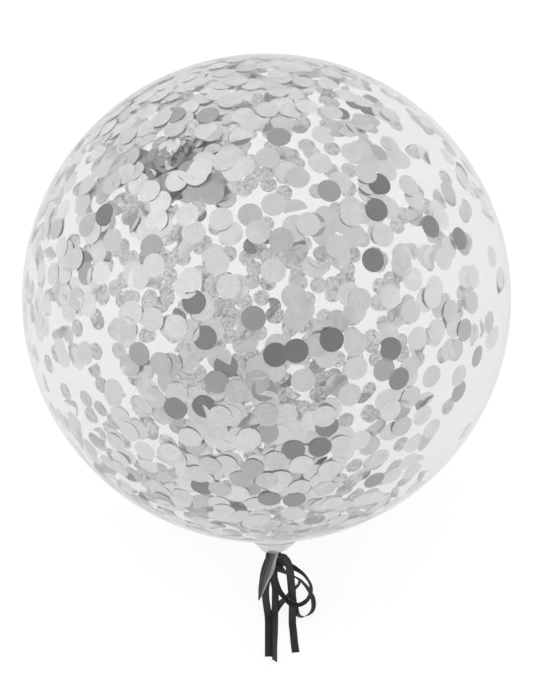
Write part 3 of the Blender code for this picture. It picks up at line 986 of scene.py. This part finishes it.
for direction in directions:
    depth = OTHER_DEPTH + OTHER_DEPTH * spread.random()
    pick = spread.random()
    painted_light_tone_here = chosen_painted_light_tone(direction)
    if pick < FLAT_TO:
        depth = spread.choice(FLAT_DEPTHS)
        flat_layer.lay(flat_kind, direction, depth, tilted(FLAT_TILT), painted_light_tone_here)
    elif pick < CREASED_TO:
        kind = spread.choice(creased_kinds)
        creased_layer.lay(kind, direction, depth, tilted(BENT_TILT), painted_light_tone_here)
    elif pick < ROLLED_TO:
        kind = spread.choice(rolled_kinds)
        creased_layer.lay(kind, direction, depth, tilted(BENT_TILT), painted_light_tone_here)
    elif pick < FOLDED_TO:
        kind = spread.choice(folded_kinds)
        folded_layer.lay(kind, direction, depth + BULKY_DEPTH, tilted(FOLDED_TILT), painted_light_tone_here)
    else:
        kind = spread.choice(crumpled_kinds)
        crumpled_layer.lay(kind, direction, depth + BULKY_DEPTH, tilted(CRUMPLED_TILT), painted_light_tone_here)
print(len(directions), "spread discs laid")

# %% [markdown]
# The crumpled patch
#
# High on the left a handful of discs is caught in a crumpled heap, dark and bright side by
# side, as painted reflection. It is made of the crumpled kinds, deeper under the film and
# steeply tilted.

# %% Crumpled patch
PATCH_DISCS = 50
PATCH_SPREAD = 0.08
PATCH_DEPTH = 0.002
PATCH_TILT = 0.7
for _ in range(PATCH_DISCS):
    place = PATCH + Vector([spread.gauss(0, PATCH_SPREAD) for _ in range(3)])
    # Painted reflection: each disc of the heap is painted either dark or bright.
    painted_light_tone_here = spread.choice((spread.uniform(0.25, 0.55), spread.uniform(0.8, 0.95)))
    kind = spread.choice(crumpled_kinds)
    depth = spread.random() * PATCH_DEPTH
    crumpled_layer.lay(kind, place.normalized(), depth, tilted(PATCH_TILT), painted_light_tone_here)
print(PATCH_DISCS, "discs in the crumpled patch")

# %% Finish the layers
for layer in (flat_layer, creased_layer, folded_layer, crumpled_layer):
    layer.finish()

# %% [markdown]
# Floor and light
#
# The photograph has plain white all round. A broad white floor under a white sky gives the
# same, with only a faint shadow where the balloon rests. The floor gives a little light of
# its own, which keeps it as white as the sky. The room behind the camera is a little darker,
# which is what the foil facing the camera shows, and a few grey screens stand about. One
# large soft lamp above and to the left gives the foil and film some direction.

# %% Floor and light
FLOOR_REACH = 9.0  # from its middle to each edge
shape = bmesh.new()
bmesh.ops.create_grid(shape, x_segments=1, y_segments=1, size=FLOOR_REACH)
mesh = bpy.data.meshes.new("floor")
shape.to_mesh(mesh)
shape.free()
floor = bpy.data.objects.new("floor", mesh)
bpy.context.collection.objects.link(floor)
pale, tree, shader = new_finish("pale_floor", Base_Color=(0.26, 0.26, 0.26, 1), Roughness=0.9)
shader.inputs["Emission Color"].default_value = (1, 1, 1, 1)
shader.inputs["Emission Strength"].default_value = 0.8
mesh.materials.append(pale)

world = bpy.data.worlds.new("studio")
bpy.context.scene.world = world
world.use_nodes = True
tree = world.node_tree
sky = tree.nodes["Background"]
sky.inputs["Strength"].default_value = 1.0
aim = add_node(tree, "TexCoord")
screens = add_node(tree, "TexNoise", {"Scale": 2.6, "Detail": 1.0})
greys = add_node(tree, "MapRange", {
    "From Min": 0.38, "From Max": 0.48, "To Min": 0.6, "To Max": 1.0,
})
facing = add_node(tree, "VectorMath", {1: FRONT}, operation="DOT_PRODUCT")
behind_camera = add_node(tree, "MapRange", {
    "From Min": 0.25, "From Max": 0.95, "To Min": 1.05, "To Max": 0.78,
})
both = add_node(tree, "Math", operation="MULTIPLY")
seen = add_node(tree, "LightPath")
shown = add_node(tree, "Mix", data_type="RGBA")
shown.inputs["B"].default_value = (1, 1, 1, 1)
tree.links.new(aim.outputs["Generated"], screens.inputs["Vector"])
tree.links.new(screens.outputs["Fac"], greys.inputs["Value"])
tree.links.new(aim.outputs["Generated"], facing.inputs[0])
tree.links.new(facing.outputs["Value"], behind_camera.inputs["Value"])
tree.links.new(greys.outputs["Result"], both.inputs[0])
tree.links.new(behind_camera.outputs["Result"], both.inputs[1])
tree.links.new(both.outputs["Value"], shown.inputs["A"])
tree.links.new(seen.outputs["Is Camera Ray"], shown.inputs["Factor"])
tree.links.new(shown.outputs["Result"], sky.inputs["Color"])

lamp = bpy.data.lights.new("soft_lamp", "AREA")
lamp.shape = "RECTANGLE"
lamp.size = 3.0
lamp.size_y = 3.0
lamp.energy = 7
soft = bpy.data.objects.new("soft_lamp", lamp)
bpy.context.collection.objects.link(soft)
soft.location = Vector((-1.5, -0.6, 2.4))
soft.rotation_mode = "QUATERNION"
soft.rotation_quaternion = (soft.location - BALL_CENTRE).to_track_quat("Z", "Y")
bpy.context.scene.view_settings.view_transform = "Standard"
bpy.context.scene.cycles.transparent_max_bounces = 16
bpy.context.scene.cycles.volume_bounces = 1
print(f"floor, white sky and a lamp {lamp.size} m across")
